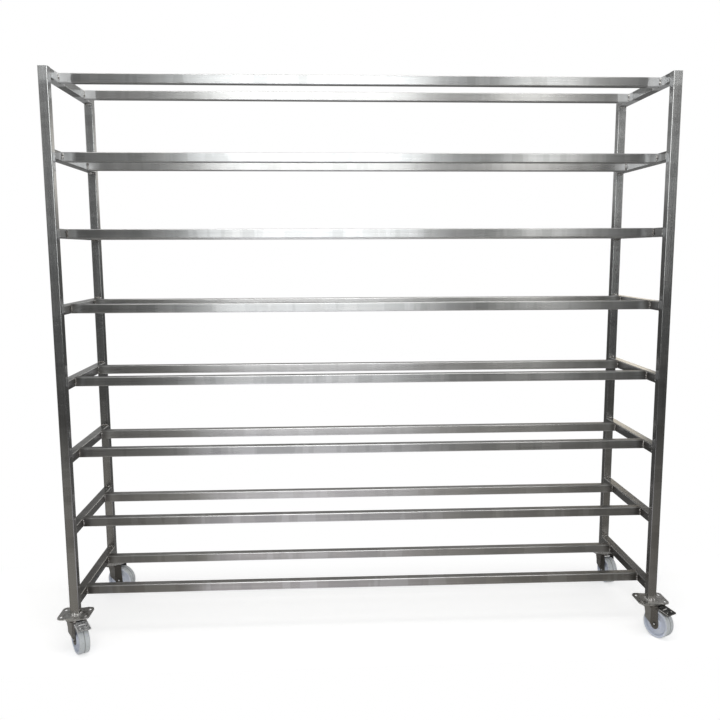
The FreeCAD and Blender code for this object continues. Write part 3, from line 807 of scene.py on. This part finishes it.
def floor_material():
    """Pale matt floor that shows white with the rack's shadow on it, and plain white towards its edges.

    Reflections see it as the ground around it, with the pool of window light and its painted shadow under the
    rack.
    """
    mat = bpy.data.materials.new("pale_floor")
    t = Tree(mat)
    x, y = t.axes(t.place())[:2]
    sides = t.ramp(t.math("ABSOLUTE", x), *FADE_SIDE)
    ends = t.math("MAXIMUM", t.ramp(y, *FADE_REAR), t.ramp(y, *FADE_FRONT))
    fade = t.math("MAXIMUM", sides, ends)
    direct, gloss = seen(t)
    pale = t.mix(gloss, grey(FLOOR_GREY), grey(FLOOR_GLOSS_GREY))
    matt = t.node("ShaderNodeBsdfDiffuse", Color=t.mix(fade, pale, grey(0.0)))
    pool, colour = pool_light(t, x, y)
    glow = t.math("ADD", t.math("MULTIPLY", direct, t.blend(fade, FLOOR_LIFT, 1.0)),
                  t.math("MULTIPLY", gloss, t.math("MULTIPLY", pool, FLOOR_GLOSS_POOL)))
    lift = t.node("ShaderNodeEmission", Color=t.mix(gloss, grey(1.0), colour), Strength=glow)
    both = t.tree.nodes.new("ShaderNodeAddShader")
    t.tree.links.new(matt.outputs[0], both.inputs[0])
    t.tree.links.new(lift.outputs[0], both.inputs[1])
    t.end(both)
    return mat


# Grey flats around the rack that only its reflections show, with a light gap above the rear one
WEST, EAST, SOUTH, NORTH, TOP = -6.0, 6.0, -5.2, 12.0, 4.8
GAP_LOW, GAP_HIGH = 1.77, 3.6
HIGH_SOUTH = 9.4
UNDER_ROOF = TOP - 0.05
PANEL_WEST, PANEL_EAST, PANEL_SOUTH, PANEL_NORTH = -2.7, -1.0, 3.0, 4.6
front_flat = flat_material("front_flat", 2, ((0.0, 0.08), (1.0, 0.10), (2.0, 0.14), (3.2, 0.34)))
side_flat = flat_material("side_flat", 2, ((0.0, 0.26), (1.2, 0.28), (2.2, 0.42), (3.2, 0.32)))
rear_flat = flat_material("rear_flat", 2, ((0.0, 0.16), (1.3, 0.24), (1.65, 0.32)))
gap_flat = flat_material("gap_flat", 0, ((-5.0, 0.36), (-2.0, 0.44), (0.5, 0.60), (3.0, 0.90), (5.6, 1.40)),
                         warm=(2.0, 5.0))
front_ground = pool_material()
rear_ground = flat_material("rear_ground", 1, ((0.50, 0.26), (2.5, 0.18), (9.0, 0.14)))
side_ground = flat_material("side_ground", 1, ((-0.95, 0.24), (0.95, 0.26)))
roof_flat = flat_material("roof_flat", 1, ((-5.2, 0.34), (-1.0, 0.28), (2.0, 0.17), (9.0, 0.15)))
high_flat = flat_material("high_flat", 0, ((-4.6, 0.16), (-2.6, 0.32), (2.6, 0.34), (4.6, 0.17)))
panel_flat = flat_material("panel_flat", 1, ((PANEL_SOUTH, 0.9), (PANEL_NORTH, 0.7)))


def upright(y, low, high):
    return (WEST, y, low), (EAST, y, low), (EAST, y, high), (WEST, y, high)


def side_wall(x):
    return (x, SOUTH, 0), (x, NORTH, 0), (x, NORTH, TOP), (x, SOUTH, TOP)


def level_area(west, east, south, north, z):
    return (west, south, z), (east, south, z), (east, north, z), (west, north, z)


plane("floor", level_area(-FLOOR_SIDE, FLOOR_SIDE, FLOOR_FRONT, FLOOR_REAR, 0), floor_material())
FLATS = (
    ("flat_front", front_flat, upright(SOUTH, 0, TOP)),
    ("flat_left", side_flat, side_wall(WEST)),
    ("flat_right", side_flat, side_wall(EAST)),
    ("flat_rear", rear_flat, upright(NORTH, 0, GAP_LOW)),
    ("flat_gap", gap_flat, upright(NORTH, GAP_LOW, GAP_HIGH)),
    ("flat_rear_top", high_flat, upright(NORTH, GAP_HIGH, TOP)),
    ("flat_rear_roof", high_flat, level_area(WEST, EAST, HIGH_SOUTH, NORTH, UNDER_ROOF)),
    ("flat_roof", roof_flat, level_area(WEST, EAST, SOUTH, NORTH, TOP)),
    ("flat_panel", panel_flat, level_area(PANEL_WEST, PANEL_EAST, PANEL_SOUTH, PANEL_NORTH, UNDER_ROOF)),
    ("ground_front", front_ground, level_area(WEST, EAST, SOUTH, FLOOR_FRONT, 0)),
    ("ground_rear", rear_ground, level_area(WEST, EAST, FLOOR_REAR, NORTH, 0)),
    ("ground_left", side_ground, level_area(WEST, -FLOOR_SIDE, FLOOR_FRONT, FLOOR_REAR, 0)),
    ("ground_right", side_ground, level_area(FLOOR_SIDE, EAST, FLOOR_FRONT, FLOOR_REAR, 0)),
)
for name, material, corners in FLATS:
    flat = plane(name, corners, material)
    flat.visible_camera = False
    flat.visible_diffuse = False
    flat.visible_shadow = False

# The world is white to the camera and in reflections, and dimmer as light
WORLD_FILL = 0.45
world = bpy.data.worlds.new("studio")
bpy.context.scene.world = world
t = Tree(world)
fill = t.node("ShaderNodeBackground", Color=(1.0, 1.0, 1.0, 1.0), Strength=WORLD_FILL)
white = t.node("ShaderNodeBackground", Color=(1.0, 1.0, 1.0, 1.0), Strength=1.0)
pick = t.tree.nodes.new("ShaderNodeMixShader")
t.put(pick.inputs[0], t.math("MAXIMUM", *seen(t)))
t.tree.links.new(fill.outputs[0], pick.inputs[1])
t.tree.links.new(white.outputs[0], pick.inputs[2])
t.end(pick, "ShaderNodeOutputWorld")


# Lamps: name, centre, aim, width, height, radiance and colour

SOFTBOXES = (
    ("window_wide", (-0.23, -4.15, 2.3), (-0.23, 0.0, 2.3), 1.86, 3.0, 2.9, (0.98, 1.0, 0.99)),
    ("window_narrow", (1.68, -4.15, 2.5), (1.68, 0.0, 2.5), 0.52, 2.6, 2.5, (1.0, 1.0, 0.97)),
    ("overhead", (0.0, -0.6, 4.1), (0.0, 0.0, 0.0), 3.2, 1.8, 2.0, (1.0, 0.99, 0.97)),
)
for name, centre, aim, width, height, radiance, colour in SOFTBOXES:
    data = bpy.data.lights.new(name, "AREA")
    data.shape = "RECTANGLE"
    data.size = width
    data.size_y = height
    data.energy = radiance * width * height * math.pi
    data.color = colour
    lamp = bpy.data.objects.new(name, data)
    bpy.context.scene.collection.objects.link(lamp)
    lamp.location = centre
    lamp.rotation_euler = (Vector(aim) - Vector(centre)).to_track_quat("-Z", "Y").to_euler()


# Camera at the photo's place

EYE = Vector((-0.13959, -2.85974, 1.31614))
YAW, PITCH, ROLL = 0.0519, 0.147, -0.0036
FOCAL_PIXELS = 812.594
CENTRE_PIXELS = (366.434, 372.195)
IMAGE_PIXELS = 720.0
SENSOR_WIDTH = 36.0

forward = Vector((math.sin(YAW) * math.cos(PITCH), math.cos(YAW) * math.cos(PITCH), -math.sin(PITCH)))
flat_right = Vector((math.cos(YAW), -math.sin(YAW), 0.0))
flat_up = flat_right.cross(forward)
right = flat_right * math.cos(ROLL) + flat_up * math.sin(ROLL)
up = flat_up * math.cos(ROLL) - flat_right * math.sin(ROLL)
camera_data = bpy.data.cameras.new("camera")
camera_data.sensor_width = SENSOR_WIDTH
camera_data.lens = FOCAL_PIXELS / IMAGE_PIXELS * SENSOR_WIDTH
camera_data.shift_x = -(CENTRE_PIXELS[0] / IMAGE_PIXELS - 0.5)
camera_data.shift_y = CENTRE_PIXELS[1] / IMAGE_PIXELS - 0.5
camera = bpy.data.objects.new("camera", camera_data)
bpy.context.scene.collection.objects.link(camera)
camera.matrix_world = Matrix((
    (right.x, up.x, -forward.x, EYE.x),
    (right.y, up.y, -forward.y, EYE.y),
    (right.z, up.z, -forward.z, EYE.z),
    (0.0, 0.0, 0.0, 1.0),
))
bpy.context.scene.camera = camera
bpy.context.scene.view_settings.view_transform = "Standard"
